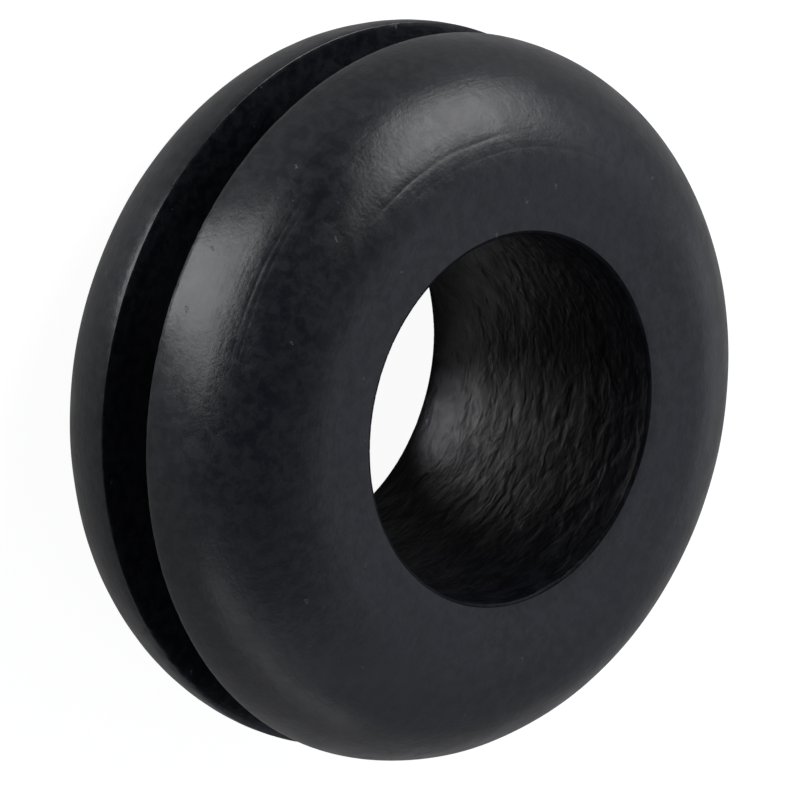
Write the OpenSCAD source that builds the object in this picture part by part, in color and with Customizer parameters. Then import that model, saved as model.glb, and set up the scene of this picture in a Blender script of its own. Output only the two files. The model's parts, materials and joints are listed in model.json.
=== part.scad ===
// Round rubber grommet: a moulded ring that lines a hole in a panel.
// The panel's edge sits in the groove, and a cable or pipe passes through the bore.
// It lies on its back face, with the bore's axis along +Z. All lengths are in millimetres.

/* [Bore] */
// Diameter of the bore that the cable passes through
bore_d = 8; // [3:0.5:10]
// Radius that breaks the bore's edge at each face
bore_edge_r = 0.1; // [0.05:0.05:0.5]

/* [Flanges] */
// Diameter over the flanges
flange_d = 15.9; // [14:0.1:40]
// Thickness of the flange at the back, which the grommet lies on
back_flange_h = 2.8; // [1:0.1:8]
// Thickness of the flange at the front
front_flange_h = 2.8; // [1:0.1:8]
// Radius of the shoulder that rounds each flange from its face to its rim
shoulder_r = 2.8; // [0.5:0.1:4]

/* [Groove] */
// Width of the groove, which is the thickest panel that it takes
groove_w = 1.4; // [0.6:0.1:5]
// Diameter at the bottom of the groove, which is the hole that it fits
groove_d = 11; // [9:0.1:15]
// Radius in the two corners at the bottom of the groove
groove_corner_r = 0.25; // [0.05:0.05:0.7]

/* [Hidden] */
$fn = 96;

bore_r = bore_d / 2;
flange_r = flange_d / 2;
groove_r = groove_d / 2;
body_h = back_flange_h + groove_w + front_flange_h;

// Width of the wall between the bore and the rim, and how far a flange stands out of the groove
wall_w = flange_r - bore_r;
overhang = flange_r - groove_r;

// A fillet is never larger than the walls that it joins
bore_edge_fit = min(bore_edge_r, wall_w / 8, back_flange_h / 4, front_flange_h / 4);
groove_corner_fit = min(groove_corner_r, groove_w / 2, overhang / 2);

// A shoulder no taller than its flange turns a full quarter and leaves a straight rim above it.
// A larger one is still an arc that leaves the face smoothly, and it meets the groove at an angle.
function shoulder_reach(r, h) = r <= h ? r : sqrt(h * (2 * r - h));

// Largest shoulder whose arc starts outside the bore's edge
function shoulder_limit(reach, h) = reach <= h ? reach : (reach * reach + h * h) / (2 * h);

// Half section of one flange of thickness h, with its face on the X axis
module flange_section(h) {
    r = min(shoulder_r, shoulder_limit(wall_w - bore_edge_fit, h));
    face_r = flange_r - shoulder_reach(r, h);
    intersection() {
        translate([bore_r, 0]) square([wall_w, h]);
        union() {
            translate([bore_r + bore_edge_fit, 0]) square([face_r - bore_r - bore_edge_fit, h]);
            translate([bore_r, bore_edge_fit]) square([face_r - bore_r, h]);
            translate([bore_r + bore_edge_fit, bore_edge_fit]) circle(bore_edge_fit);
            translate([face_r, r]) circle(r);
            if (r < h) translate([bore_r, r]) square([wall_w, h]);
        }
    }
}

// Half section of the neck between the flanges, from the bore to the bottom of the groove
module neck_section() {
    fillet_r = groove_r + groove_corner_fit;
    difference() {
        translate([bore_r, 0]) square([fillet_r - bore_r, groove_w]);
        for (z = [groove_corner_fit, groove_w - groove_corner_fit])
            translate([fillet_r, z]) circle(groove_corner_fit);
        translate([groove_r, groove_corner_fit])
            square([overhang, groove_w - 2 * groove_corner_fit]);
    }
}

module grommet() {
    color([0.19, 0.19, 0.21])
        rotate_extrude() {
            flange_section(back_flange_h);
            translate([0, back_flange_h]) neck_section();
            translate([0, body_h]) mirror([0, 1]) flange_section(front_flange_h);
        }
}

grommet();
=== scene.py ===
"""A black rubber grommet, lying on its back face on a pale floor.

Its sizes are in millimetres until the finished mesh is scaled to metres.
"""

import json
import math

import bmesh
import bpy
from mathutils import Matrix, Vector, noise


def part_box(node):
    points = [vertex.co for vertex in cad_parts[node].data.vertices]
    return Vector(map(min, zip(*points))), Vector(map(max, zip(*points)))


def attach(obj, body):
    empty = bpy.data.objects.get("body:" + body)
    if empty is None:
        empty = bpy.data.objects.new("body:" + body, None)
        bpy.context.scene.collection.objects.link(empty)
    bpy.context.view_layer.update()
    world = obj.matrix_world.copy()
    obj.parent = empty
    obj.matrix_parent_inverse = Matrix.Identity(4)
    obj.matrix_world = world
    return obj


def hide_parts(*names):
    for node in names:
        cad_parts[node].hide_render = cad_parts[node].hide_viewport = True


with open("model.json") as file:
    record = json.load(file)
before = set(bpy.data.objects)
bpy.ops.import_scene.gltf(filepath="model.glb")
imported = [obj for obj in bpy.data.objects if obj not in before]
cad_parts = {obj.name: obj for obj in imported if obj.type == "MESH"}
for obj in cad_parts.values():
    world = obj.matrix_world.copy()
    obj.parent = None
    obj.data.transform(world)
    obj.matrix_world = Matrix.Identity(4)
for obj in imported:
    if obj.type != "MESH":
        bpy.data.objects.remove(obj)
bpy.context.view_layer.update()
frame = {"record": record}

MM = 0.001

# The grommet's sizes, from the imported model
low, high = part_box("grommet")
mounts = {mount["name"]: mount for mount in frame["record"]["mounts"]}
LENGTH = (high[2] - low[2]) / MM
FLANGE_R = min(high[0] - low[0], high[1] - low[1]) / 2 / MM
BORE_R = mounts["bore"]["dims"]["r_mm"]
GROOVE_R = mounts["panel_groove"]["dims"]["r_mm"]
GROOVE_W = mounts["panel_groove"]["dims"]["length_mm"]
FLANGE_H = (LENGTH - GROOVE_W) / 2

# Radii that round the corners of the half section
BORE_EDGE_R = 0.1
LIP_R = 0.04
GROOVE_CORNER_R = 0.25
SHOULDER_R = FLANGE_H - LIP_R

# How much of the bore's rounded edge is torn like its wall and gets the wall's painted shade
TORN_SHADED_EDGE_SHARE = 0.9

# How many steps each rounded corner has, and one turn of the ring
BORE_EDGE_STEPS = 4
LIP_STEPS = 3
GROOVE_CORNER_STEPS = 5
BACK_SHOULDER_STEPS = 20
FRONT_SHOULDER_STEPS = 40
STEPS_ROUND = 600

# The longest stretch of the section in the bore, on the faces, in the groove and near a mould ring
BORE_STRETCH = 0.25
FACE_STRETCH = 0.40
GROOVE_STRETCH = 0.60
RING_STRETCH = 0.03

# Fine rings that the mould left on the front shoulder: degrees from the flat face, width, depth,
# and the middle and half length of each in degrees round the bore
MOULD_RINGS = [
    (15.0, 0.060, 0.0040, -138, 34),
    (22.0, 0.035, 0.0060, -122, 20),
    (49.5, 0.025, 0.0040, -86, 18),
    (52.5, 0.030, 0.0040, -83, 16),
]

# How many degrees a mould ring wanders, how far on each side of it the section is finer,
# and over how many degrees it fades out at an end
RING_WANDER = 0.5
RING_REACH = 1.5
RING_FADE = 16

# How far the surface wanders from its true shape, and over what distance
UNEVEN_DEPTH = 0.020
UNEVEN_LENGTH = 1.6
NICK_DEPTH = 0.011
NICK_LENGTH = 0.13
RIPPLE_DEPTH = 0.035
RIPPLE_HEIGHT = 0.60
RIPPLE_LENGTH = 1.9

# How far the nicks reach from an edge, and how far apart its ragged stretches are
NICK_REACH = 0.07
NICK_SPACING = 2.5


def direction(azimuth, elevation):
    """The unit vector towards a place in the sky, with both angles in degrees."""
    azimuth, elevation = math.radians(azimuth), math.radians(elevation)
    flat = math.cos(elevation)
    return Vector((flat * math.cos(azimuth), flat * math.sin(azimuth), math.sin(elevation)))


def facing(place, target, turn=0):
    """Places a lamp or camera so that it looks at the target, turned by some degrees about its view."""
    look = (place - target).to_track_quat("Z", "Y").to_matrix().to_4x4()
    return Matrix.Translation(place * MM) @ look @ Matrix.Rotation(math.radians(turn), 4, "Z")


def link(name, data):
    piece = bpy.data.objects.new(name, data)
    bpy.context.collection.objects.link(piece)
    return piece


def smooth(x):
    """Eases from 0 to 1 as x goes from 0 to 1."""
    x = min(1.0, max(0.0, x))
    return x * x * (3 - 2 * x)


# The moulded ring

def half_section(bm):
    """Draws the closed half section in the XZ plane and rounds its corners."""
    front_lip = LENGTH - FLANGE_H
    behind_lip = FLANGE_R - 3 * LIP_R
    corners = [
        (BORE_R, 0, BORE_EDGE_R, BORE_EDGE_STEPS),
        (FLANGE_R, 0, SHOULDER_R, BACK_SHOULDER_STEPS),
        (FLANGE_R, FLANGE_H, LIP_R, LIP_STEPS),
        (behind_lip, FLANGE_H, 0, 0),
        (GROOVE_R, FLANGE_H, GROOVE_CORNER_R, GROOVE_CORNER_STEPS),
        (GROOVE_R, front_lip, GROOVE_CORNER_R, GROOVE_CORNER_STEPS),
        (behind_lip, front_lip, 0, 0),
        (FLANGE_R, front_lip, LIP_R, LIP_STEPS),
        (FLANGE_R, LENGTH, SHOULDER_R, FRONT_SHOULDER_STEPS),
        (BORE_R, LENGTH, BORE_EDGE_R, BORE_EDGE_STEPS),
    ]
    verts = [bm.verts.new((r, 0, z)) for r, z, round_r, steps in corners]
    for start, end in zip(verts, verts[1:] + verts[:1]):
        bm.edges.new((start, end))
    for vert, (r, z, round_r, steps) in zip(verts, corners):
        if round_r > 0:
            bmesh.ops.bevel(bm, geom=[vert], offset=round_r, offset_type="OFFSET", segments=steps,
                            profile=0.5, affect="VERTICES", clamp_overlap=False, material=-1)


def shoulder_angle(r, z):
    """Degrees from the front face, round the middle of the front shoulder's arc."""
    return math.degrees(math.atan2(r - (FLANGE_R - SHOULDER_R), z - (LENGTH - SHOULDER_R)))


def near_mould_ring(r, z):
    angle = shoulder_angle(r, z)
    return z > LENGTH - FLANGE_H and any(abs(angle - ring[0]) < RING_REACH for ring in MOULD_RINGS)


def longest_stretch(r, z):
    """The longest stretch that the section may have at a place on it."""
    if near_mould_ring(r, z):
        return RING_STRETCH
    if r < BORE_R + BORE_EDGE_R / 2:
        return BORE_STRETCH
    if FLANGE_H - LIP_R / 2 < z < LENGTH - FLANGE_H + LIP_R / 2:
        return GROOVE_STRETCH
    return FACE_STRETCH


def split_edges(bm):
    """Cuts the section's edges into stretches that are short enough."""
    for edge in list(bm.edges):
        middle = (edge.verts[0].co + edge.verts[1].co) / 2
        cuts = math.ceil(edge.calc_length() / longest_stretch(middle.x, middle.z)) - 1
        if cuts > 0:
            bmesh.ops.subdivide_edges(bm, edges=[edge], cuts=cuts)


def ring_depth(place, r, z):
    """How deep the mould's rings are at a place on the front shoulder. Each fades out at its ends."""
    angle = shoulder_angle(r, z) + RING_WANDER * noise.noise(place)
    way_round = math.degrees(math.atan2(place.y, place.x))
    depth = 0
    for ring_angle, width, deep, middle, half_length in MOULD_RINGS:
        off = math.radians(angle - ring_angle) * SHOULDER_R / width
        to_end = half_length - abs((way_round - middle + 180) % 360 - 180)
        depth += deep * smooth(0.5 + to_end / RING_FADE) * math.exp(-off * off)
    return depth


def uneven_depth(place):
    """How far the skin lies below its true shape, which changes slowly over the surface."""
    return UNEVEN_DEPTH * (0.5 + 0.5 * noise.noise(place / UNEVEN_LENGTH + Vector((3, 0, 0))))


def ripple_depth(place):
    """How deep the bore's ripples are. They are long round the bore and short along it."""
    across = Vector((place.x / RIPPLE_LENGTH, place.y / RIPPLE_LENGTH, place.z / RIPPLE_HEIGHT))
    return RIPPLE_DEPTH * smooth(0.5 + 0.5 * noise.fractal(across, 0.8, 2.2, 3))


def nick_depth(place, to_edge):
    """How deep a nick in an edge is, to_edge away from it. Much of the edge has hardly any."""
    near = 1 - smooth(to_edge / NICK_REACH)
    if near == 0:
        return 0
    rough = noise.fractal(place / NICK_LENGTH, 0.5, 2.3, 4)
    often = noise.noise(place / NICK_SPACING + Vector((0, 21, 0)))
    return near * NICK_DEPTH * (0.2 + smooth(1.6 * rough + 0.5 * often - 0.1))


def wear(bm):
    """Moves the surface inwards a little, so that it is uneven, its lips ragged and its bore rippled."""
    bm.normal_update()
    moves = []
    for vert in bm.verts:
        place = vert.co.copy()
        r = math.hypot(place.x, place.y)
        z = place.z
        depth = uneven_depth(place)
        if z > LENGTH - FLANGE_H and r > FLANGE_R - SHOULDER_R:
            depth += ring_depth(place, r, z)
        if r < BORE_R + BORE_EDGE_R / 2 and BORE_EDGE_R < z < LENGTH - BORE_EDGE_R:
            depth += ripple_depth(place)
        to_back_lip = math.hypot(r - FLANGE_R, z - FLANGE_H)
        to_front_lip = math.hypot(r - FLANGE_R, z - LENGTH + FLANGE_H)
        to_bore_edge = min(math.hypot(r - BORE_R, z), math.hypot(r - BORE_R, z - LENGTH))
        depth += nick_depth(place, min(to_back_lip, to_front_lip, to_bore_edge))
        moves.append((vert, place - depth * vert.normal))
    for vert, place in moves:
        place.z = min(LENGTH, max(0, place.z))
        vert.co = place


def is_torn_and_shaded(place):
    """Whether a place on the scaled mesh is on the bore's wall or the edge that leads into it."""
    return math.hypot(place.x, place.y) < (BORE_R + BORE_EDGE_R * TORN_SHADED_EDGE_SHARE) * MM


def moulded_ring():
    bm = bmesh.new()
    half_section(bm)
    split_edges(bm)
    bmesh.ops.spin(bm, geom=bm.verts[:] + bm.edges[:], cent=(0, 0, 0), axis=(0, 0, 1),
                   angle=math.tau, steps=STEPS_ROUND, use_merge=True)
    bmesh.ops.remove_doubles(bm, verts=bm.verts, dist=0.001)
    bmesh.ops.recalc_face_normals(bm, faces=bm.faces)
    wear(bm)
    bmesh.ops.scale(bm, verts=bm.verts, vec=(MM, MM, MM))
    for face in bm.faces:
        face.smooth = True
        # The bore's wall and its edge get the torn skin, whose darker base colour is painted shade
        face.material_index = int(is_torn_and_shaded(face.calc_center_median()))
    mesh = bpy.data.meshes.new("moulded_ring")
    bm.to_mesh(mesh)
    bm.free()
    mesh.materials.append(moulded_rubber())
    mesh.materials.append(torn_shaded_rubber())
    return link("moulded_ring", mesh)


# The rubber

RUBBER_DARK = (0.0022, 0.0027, 0.0050, 1)
RUBBER_BLOOM = (0.0048, 0.0057, 0.0094, 1)
RUBBED_COLOR = (0.0120, 0.0129, 0.0166, 1)
# The bore wall's base colour is darker than the outside's dark tone, which is painted shade in the bore.
# Its pale streaks are the wall's own marks.
TORN_SHADED_COLOR = (0.0010, 0.0012, 0.0032, 1)
TORN_PALE_COLOR = (0.0050, 0.0054, 0.0090, 1)
DUST_COLOR = (0.11, 0.11, 0.11, 1)

# How large the spots of each pattern are. Streaks and scratches are long round the bore,
# so theirs are the length and the height.
GRAIN_SIZE = 0.10
PIT_SIZE = 0.28
MOTTLE_SIZE = 0.75
CLOUD_SIZE = 2.8
DUST_SPACING = 0.34
LINE_SPACING = 0.15
STREAK_SIZE = (0.64, 0.40)
SCRATCH_SIZE = (0.45, 0.18)

# How deep each pattern is, where it is full
GRAIN_DEPTH = 0.005
PIT_DEPTH = 0.0035
MOTTLE_DEPTH = 0.013
DUST_DEPTH = 0.010
LINE_DEPTH = 0.005
STREAK_DEPTH = 0.070
SCRATCH_DEPTH = 0.022

# The roughness of both skins, and the torn skin's specular level
MOULDED_ROUGHNESS = 0.28
TORN_ROUGHNESS = 0.46
TORN_GLOSS = 0.10


class Finish:
    """Builds a material's nodes. Every pattern is measured in millimetres on the piece."""

    def __init__(self, name):
        self.material = bpy.data.materials.new(name)
        self.material.use_nodes = True
        self.nodes = self.material.node_tree.nodes
        self.links = self.material.node_tree.links
        self.shader = self.nodes["Principled BSDF"]
        self.place = self.nodes.new("ShaderNodeTexCoord").outputs["Object"]

    def add(self, kind, *sources, **settings):
        """Adds a node, sets its settings and feeds its inputs in order with sockets or plain values."""
        node = self.nodes.new(kind)
        for key, value in settings.items():
            setattr(node, key, value)
        for number, source in enumerate(sources):
            if isinstance(source, bpy.types.NodeSocket):
                self.links.new(source, node.inputs[number])
            elif source is not None:
                node.inputs[number].default_value = source
        return node

    def math(self, operation, *values, clamp=False):
        return self.add("ShaderNodeMath", *values, operation=operation, use_clamp=clamp).outputs[0]

    def spots(self, size, height=None):
        """The place on the piece, in units of size, and of height along the axis where it differs."""
        upright = height or size
        scale = (1 / (size * MM), 1 / (size * MM), 1 / (upright * MM))
        return self.add("ShaderNodeMapping", self.place, None, None, scale).outputs[0]

    def noise(self, place, detail, rough=0.55, distortion=0.0):
        node = self.add("ShaderNodeTexNoise", place)
        node.inputs["Scale"].default_value = 1
        node.inputs["Detail"].default_value = detail
        node.inputs["Roughness"].default_value = rough
        node.inputs["Distortion"].default_value = distortion
        return node.outputs["Fac"]

    def between(self, value, start, end):
        """0 where value is at start or below, 1 at end or above."""
        node = self.add("ShaderNodeMapRange", value, start, end, 0.0, 1.0,
                        interpolation_type="SMOOTHSTEP")
        return node.outputs[0]

    def blend(self, amount, first, second):
        node = self.nodes.new("ShaderNodeMix")
        node.data_type = "RGBA"
        sockets = (node.inputs[0], node.inputs[6], node.inputs[7])
        for socket, source in zip(sockets, (amount, first, second)):
            if isinstance(source, bpy.types.NodeSocket):
                self.links.new(source, socket)
            else:
                socket.default_value = source
        return node.outputs[2]

    def bump(self, height, depth, under=None):
        node = self.add("ShaderNodeBump")
        node.inputs["Strength"].default_value = 1
        node.inputs["Distance"].default_value = depth * MM
        self.links.new(height, node.inputs["Height"])
        if under:
            self.links.new(under, node.inputs["Normal"])
        return node.outputs["Normal"]


class Rubber(Finish):
    """The patterns that both skins of the rubber share."""

    def __init__(self, name):
        super().__init__(name)
        self.grain = self.noise(self.spots(GRAIN_SIZE), 3, 0.6)
        self.pits = self.noise(self.spots(PIT_SIZE), 4, 0.65, 0.3)
        self.mottle = self.noise(self.spots(MOTTLE_SIZE), 4, 0.6, 0.4)
        self.cloud = self.noise(self.spots(CLOUD_SIZE), 3, 0.5)
        gaps = self.between(self.cloud, 0.50, 0.62)
        self.rubbed = self.math("MULTIPLY", gaps, self.between(self.pits, 0.40, 0.62))
        self.dust = self.dust_specks()

    def dust_specks(self):
        """A grain of dust in a few of the small cells, of the size that the cell's number gives."""
        wavy = self.add("ShaderNodeVectorMath", self.spots(DUST_SPACING), self.grain, operation="ADD")
        cells = self.add("ShaderNodeTexVoronoi", wavy.outputs[0])
        cells.inputs["Scale"].default_value = 1
        cell_number = self.add("ShaderNodeSeparateColor", cells.outputs["Color"]).outputs[0]
        reach = self.math("MULTIPLY", self.between(cell_number, 0.86, 1.0), 0.16)
        return self.between(self.math("SUBTRACT", reach, cells.outputs["Distance"]), -0.01, 0.02)

    def uneven_surface(self):
        """The fine relief that both skins have, under any relief of their own."""
        surface = self.bump(self.grain, GRAIN_DEPTH)
        surface = self.bump(self.math("MULTIPLY_ADD", self.rubbed, 0.4, self.pits), PIT_DEPTH, surface)
        return self.bump(self.mottle, MOTTLE_DEPTH, surface)

    def finish(self, color, surface, roughness):
        """Lays the dust over a skin and joins its colour, relief and roughness to the shader."""
        surface = self.bump(self.dust, DUST_DEPTH, surface)
        color = self.blend(self.math("MULTIPLY", self.dust, 0.5), color, DUST_COLOR)
        dull = self.math("MULTIPLY_ADD", self.between(self.mottle, 0.3, 0.7), 0.09, roughness)
        dull = self.math("MULTIPLY_ADD", self.rubbed, 0.06, dull)
        dull = self.math("MULTIPLY_ADD", self.dust, 0.3, dull, clamp=True)
        self.links.new(surface, self.shader.inputs["Normal"])
        self.links.new(color, self.shader.inputs["Base Color"])
        self.links.new(dull, self.shader.inputs["Roughness"])
        return self.material


def moulded_rubber():
    """The outside's satin skin, paler where it is rubbed and pitted."""
    rubber = Rubber("black_rubber")
    color = rubber.blend(rubber.between(rubber.cloud, 0.35, 0.65), RUBBER_DARK, RUBBER_BLOOM)
    color = rubber.blend(rubber.math("MULTIPLY", rubber.rubbed, 0.55), color, RUBBED_COLOR)
    pitted = rubber.math("MULTIPLY", rubber.between(rubber.pits, 0.38, 0.64), 0.95)
    color = rubber.blend(pitted, color, RUBBED_COLOR)
    surface = rubber.bump(turned_lines(rubber), LINE_DEPTH, rubber.uneven_surface())
    return rubber.finish(color, surface, MOULDED_ROUGHNESS)


def turned_lines(rubber):
    """Fine lines round the axis, where the mould was turned. They change as the cloudy pattern does."""
    flat = rubber.add("ShaderNodeVectorMath", rubber.place, (1, 1, 0), operation="MULTIPLY")
    radius = rubber.add("ShaderNodeVectorMath", flat.outputs[0], operation="LENGTH").outputs["Value"]
    height = rubber.add("ShaderNodeSeparateXYZ", rubber.place).outputs["Z"]
    lines_out = rubber.math("DIVIDE", radius, LINE_SPACING * MM)
    lines_up = rubber.math("DIVIDE", height, LINE_SPACING * MM)
    change = rubber.math("MULTIPLY", rubber.cloud, 6)
    across = rubber.add("ShaderNodeCombineXYZ", lines_out, lines_up, change)
    return rubber.noise(across.outputs[0], 2)


def torn_shaded_rubber():
    """The bore's skin, which is streaked and scratched round the bore and mirrors less. Its base colour
    is darker than the outside's, which is painted shade in the bore.
    """
    rubber = Rubber("torn_shaded_rubber")
    streak = rubber.noise(rubber.spots(*STREAK_SIZE), 2, 0.5, 0.5)
    scratch = rubber.noise(rubber.spots(*SCRATCH_SIZE), 2, 0.6, 0.3)
    # The dark base is painted shade in the bore, and the pale streaks are the wall's own marks
    color = rubber.blend(rubber.between(streak, 0.46, 0.62), TORN_SHADED_COLOR, TORN_PALE_COLOR)
    surface = rubber.bump(streak, STREAK_DEPTH, rubber.uneven_surface())
    surface = rubber.bump(scratch, SCRATCH_DEPTH, surface)
    rubber.shader.inputs["Specular IOR Level"].default_value = TORN_GLOSS
    return rubber.finish(color, surface, TORN_ROUGHNESS)


# The floor and the surroundings

FLOOR_SIZE = 700
FLOOR_COLOR = (0.25, 0.25, 0.25, 1)

# Light added to the floor where it is seen directly, and in what the rubber mirrors
FLOOR_GLOW = 0.945
MIRRORED_GLOW = 0.21

# The room is dim above and behind the camera, and paler on the far side: how much light comes from
# each direction, by the cosine of its angle to the dim side
DIM_SIDE = direction(-85, 45)
ROOM_LIGHT = [
    (-1.0, 0.14), (-0.60, 0.26), (-0.40, 0.37), (-0.20, 0.36), (-0.07, 0.53), (0.04, 0.77),
    (0.13, 0.53), (0.24, 0.35), (0.68, 0.12), (0.85, 0.06), (1.0, 0.04),
]
ROOM_TINT = (0.98, 1.00, 1.13)


def glow_seen(nodes, links):
    """The floor's added light, which is full for the camera and less in mirrored and refracted rays."""
    path = nodes.new("ShaderNodeLightPath")
    shares = {
        "Is Camera Ray": FLOOR_GLOW,
        "Is Glossy Ray": MIRRORED_GLOW,
        "Is Transmission Ray": MIRRORED_GLOW,
    }
    glow = None
    for ray, strength in shares.items():
        share = nodes.new("ShaderNodeMath")
        share.operation = "MULTIPLY_ADD"
        links.new(path.outputs[ray], share.inputs[0])
        share.inputs[1].default_value = strength
        share.inputs[2].default_value = 0
        if glow:
            links.new(glow, share.inputs[2])
        glow = share.outputs[0]
    return glow


def floor_material():
    material = bpy.data.materials.new("pale_floor")
    material.use_nodes = True
    nodes, links = material.node_tree.nodes, material.node_tree.links
    nodes.clear()
    matt = nodes.new("ShaderNodeBsdfDiffuse")
    matt.inputs["Color"].default_value = FLOOR_COLOR
    glow = nodes.new("ShaderNodeEmission")
    links.new(glow_seen(nodes, links), glow.inputs["Strength"])
    both = nodes.new("ShaderNodeAddShader")
    links.new(matt.outputs[0], both.inputs[0])
    links.new(glow.outputs[0], both.inputs[1])
    output = nodes.new("ShaderNodeOutputMaterial")
    links.new(both.outputs[0], output.inputs["Surface"])
    return material


def add_floor():
    bm = bmesh.new()
    bmesh.ops.create_grid(bm, x_segments=1, y_segments=1, size=FLOOR_SIZE / 2 * MM)
    mesh = bpy.data.meshes.new("floor")
    bm.to_mesh(mesh)
    bm.free()
    mesh.materials.append(floor_material())
    link("floor", mesh)


def room_light(nodes, links):
    """The light of the room in each direction, as a colour."""
    sky = nodes.new("ShaderNodeTexCoord")
    towards = nodes.new("ShaderNodeVectorMath")
    towards.operation = "DOT_PRODUCT"
    links.new(sky.outputs["Generated"], towards.inputs[0])
    towards.inputs[1].default_value = DIM_SIDE
    half = nodes.new("ShaderNodeMath")
    half.operation = "MULTIPLY_ADD"
    half.inputs[1].default_value = 0.5
    half.inputs[2].default_value = 0.5
    links.new(towards.outputs["Value"], half.inputs[0])
    ramp = nodes.new("ShaderNodeValToRGB")
    for number, (where, light) in enumerate(ROOM_LIGHT):
        if 0 < number < len(ROOM_LIGHT) - 1:
            ramp.color_ramp.elements.new((where + 1) / 2)
        ramp.color_ramp.elements[number].position = (where + 1) / 2
        ramp.color_ramp.elements[number].color = (*(light * tint for tint in ROOM_TINT), 1)
    links.new(half.outputs[0], ramp.inputs[0])
    return ramp.outputs[0]


def add_surroundings():
    """The room lights the grommet, and the camera sees plain white in its place."""
    world = bpy.data.worlds.new("studio")
    bpy.context.scene.world = world
    world.use_nodes = True
    nodes, links = world.node_tree.nodes, world.node_tree.links
    nodes.clear()
    room = nodes.new("ShaderNodeBackground")
    links.new(room_light(nodes, links), room.inputs["Color"])
    white = nodes.new("ShaderNodeBackground")
    white.inputs["Color"].default_value = (1, 1, 1, 1)
    choose = nodes.new("ShaderNodeMixShader")
    path = nodes.new("ShaderNodeLightPath")
    links.new(path.outputs["Is Camera Ray"], choose.inputs["Fac"])
    links.new(room.outputs[0], choose.inputs[1])
    links.new(white.outputs[0], choose.inputs[2])
    output = nodes.new("ShaderNodeOutputWorld")
    links.new(choose.outputs[0], output.inputs["Surface"])


# The lamps

# Lamps round the grommet: the way to each one and its distance, its width, height and brightness,
# and how far it is turned about the way that it faces
ROUND_LAMPS = [
    ("back_lamp", direction(190, 35), 90, 57, 63, 4.5, 20),
    ("far_fill", direction(119, 12), 120, 50, 55, 0.38, 0),
]
FRONT_FILL_PLACE = 55 * direction(18, 0) + Vector((0, 0, 7))
FRONT_FILL_WIDTH = 66
FRONT_FILL_HEIGHT = 14
FRONT_FILL_BRIGHTNESS = 0.55

# The side lamp leans away from the grommet's foot and widens with distance. It is laid out in strips,
# and its edges are distances from the grommet's axis.
SIDE_LAMP_AZIMUTH = -81
SIDE_LAMP_HALF_ANGLE = 26
SIDE_LAMP_RISE = 0.36
SIDE_LAMP_FOOT = 0.3
SIDE_LAMP_EDGES = [11, 14, 19, 28, 42, 72]
SIDE_LAMP_BRIGHTNESS = 4.0

# Small lamps low in the bore stand for the light that comes in at its back end: where each one is,
# its width, its brightness and the angle that it shines over. Wide and narrow ones lie together,
# so that the light fades to the sides.
BORE_LAMPS = [
    ((-0.80, 3.25, 0.15), 0.9, 3.3, 100),
    ((-0.95, 3.25, 0.15), 1.6, 1.3, 100),
    ((-0.75, 2.70, 0.30), 0.9, 0.8, 80),
    ((-0.90, 2.70, 0.30), 1.5, 0.3, 80),
    ((-0.70, 1.90, 0.30), 0.8, 0.9, 60),
    ((-0.65, 0.90, 0.30), 0.8, 0.5, 45),
]
BORE_LAMP_HEIGHT = 0.8
BORE_LAMP_FACES = Vector((-0.10, 0.66, 0.75))

# One more lies further round the bore and faces that side
FAR_BORE_LAMP = ((-1.90, 2.40, 0.15), 1.6, 0.75, 120)
FAR_BORE_LAMP_FACES = Vector((-0.55, 0.10, 0.80))


def add_lamp(name, stand, width, height, brightness):
    """A soft rectangular lamp, placed by the matrix stand. A brightness of 1 is a white face."""
    light = bpy.data.lights.new(name, "AREA")
    light.shape = "RECTANGLE"
    light.size = width * MM
    light.size_y = height * MM
    light.energy = brightness * math.pi * light.size * light.size_y
    lamp = link(name, light)
    lamp.matrix_world = stand
    lamp.visible_camera = False
    return lamp


def add_round_lamps(middle):
    for name, way, distance, width, height, brightness, turn in ROUND_LAMPS:
        add_lamp(name, facing(middle + distance * way, middle, turn), width, height, brightness)
    add_lamp("front_fill", facing(FRONT_FILL_PLACE, middle), FRONT_FILL_WIDTH, FRONT_FILL_HEIGHT,
             FRONT_FILL_BRIGHTNESS)


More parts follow.
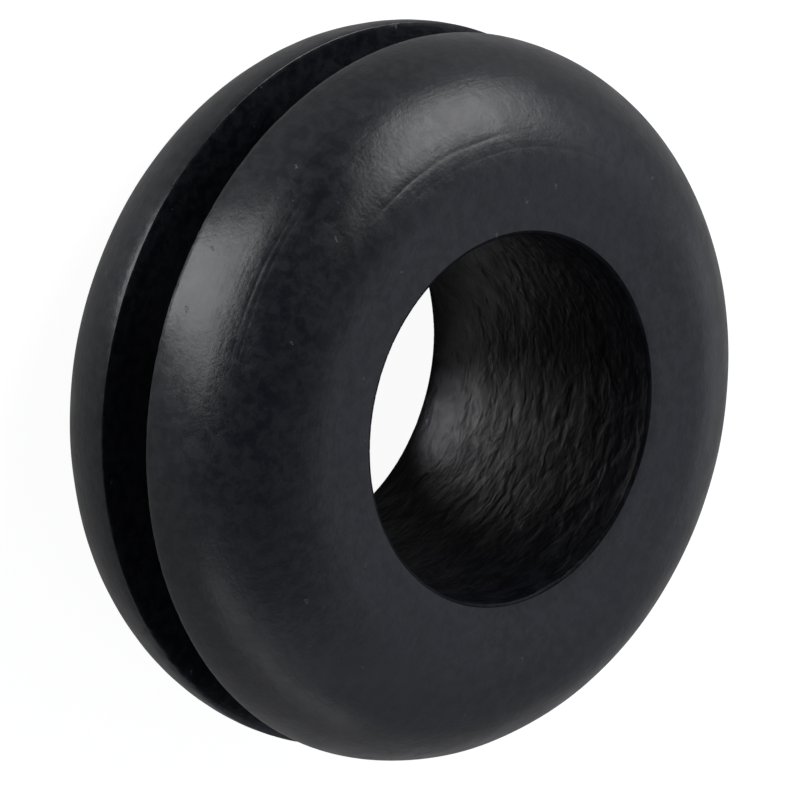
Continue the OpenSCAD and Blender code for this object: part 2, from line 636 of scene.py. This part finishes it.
def add_side_lamp():
    out = direction(SIDE_LAMP_AZIMUTH, 0)
    side = Vector((-out.y, out.x, 0))
    lean = Vector((out.x, out.y, SIDE_LAMP_RISE))
    foot = out * SIDE_LAMP_EDGES[0] + Vector((0, 0, SIDE_LAMP_FOOT))
    upright = lean.normalized()
    turn = Matrix((side, upright, side.cross(upright))).transposed().to_4x4()
    for number, (near, far) in enumerate(zip(SIDE_LAMP_EDGES, SIDE_LAMP_EDGES[1:])):
        centre = (near + far) / 2
        width = 2 * math.tan(math.radians(SIDE_LAMP_HALF_ANGLE)) * (centre - FLANGE_R)
        place = foot + lean * (centre - SIDE_LAMP_EDGES[0])
        add_lamp("side_lamp_%d" % number, Matrix.Translation(place * MM) @ turn, width,
                 (far - near) * lean.length, SIDE_LAMP_BRIGHTNESS)


def add_bore_lamps():
    lamps = [(lamp, BORE_LAMP_FACES) for lamp in BORE_LAMPS] + [(FAR_BORE_LAMP, FAR_BORE_LAMP_FACES)]
    for number, ((place, width, brightness, spread), faces) in enumerate(lamps):
        place = Vector(place)
        lamp = add_lamp("bore_lamp_%d" % number, facing(place, place + faces), width, BORE_LAMP_HEIGHT,
                        brightness)
        lamp.data.spread = math.radians(spread)


# The line of sight to the grommet, and how the picture is turned about it

SIGHT_AZIMUTH = -70.4
SIGHT_ELEVATION = 46.2
PICTURE_TURN = 105.0
AIM = Vector((0.20, 0.08, 3.5))
CAMERA_DISTANCE = 294.2
CAMERA_LENS = 614.3


def add_camera():
    lens = bpy.data.cameras.new("camera")
    lens.lens = CAMERA_LENS
    lens.clip_start = 1 * MM
    camera = link("camera", lens)
    place = AIM + CAMERA_DISTANCE * direction(SIGHT_AZIMUTH, SIGHT_ELEVATION)
    camera.matrix_world = facing(place, AIM, PICTURE_TURN)
    bpy.context.scene.camera = camera


add_camera()
ring = moulded_ring()
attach(ring, "root")
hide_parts("grommet")
add_floor()
add_surroundings()
add_round_lamps(Vector((0, 0, LENGTH / 2)))
add_side_lamp()
add_bore_lamps()

bpy.context.scene.view_settings.view_transform = "Standard"
